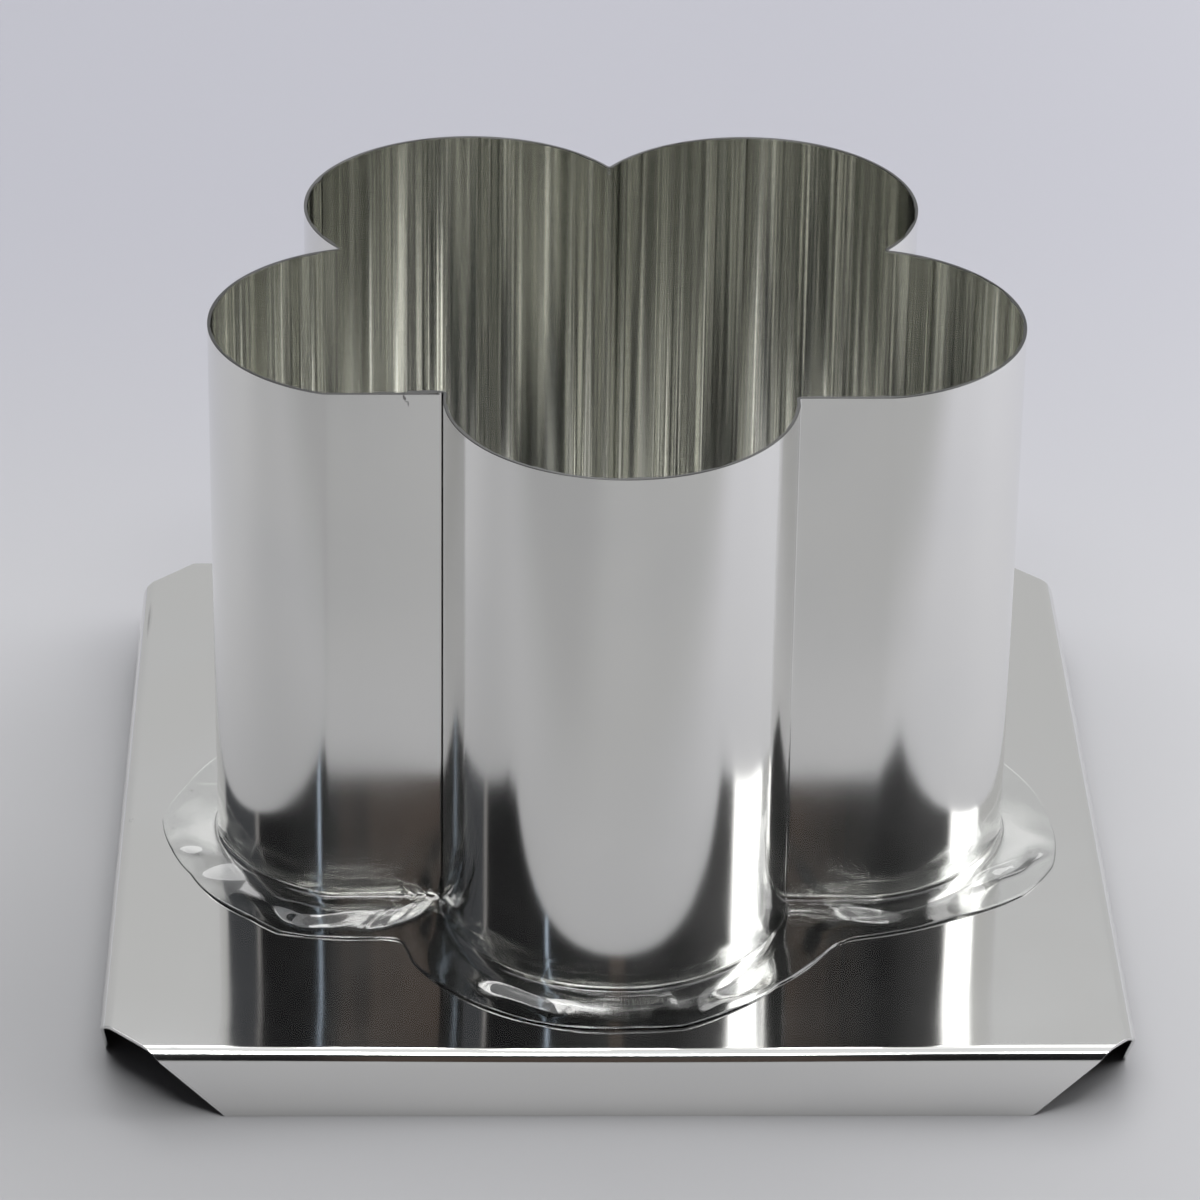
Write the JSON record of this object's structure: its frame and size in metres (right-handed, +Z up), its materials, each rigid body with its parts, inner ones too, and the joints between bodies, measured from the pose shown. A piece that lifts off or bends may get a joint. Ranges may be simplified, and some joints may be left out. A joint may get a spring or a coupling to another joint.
{
  "type": "candle mould",
  "caption": "Open-topped sheet-metal candle mould with a lobed flower-shaped wall, lapped at one fold, standing on a square flanged base plate and sealed round its foot with a clear bead.",
  "frame": {"origin": "middle of the square footprint, on the surface it stands on", "axes": "+Z up out of the open pour end, -Y towards the front lobe, the one whose left fold carries the lap"},
  "size_m": [0.15, 0.15, 0.0963],
  "materials": {
    "wall_sheet": "bright tinned sheet, satin mirror",
    "base_plate": "bright tinned sheet, satin mirror",
    "sealant_bead": "clear, glossy"
  },
  "bodies": {
    "root": {"wall_sheet": "wall_sheet", "base_plate": "base_plate", "sealant_bead": "sealant_bead"}
  },
  "joints": []
}
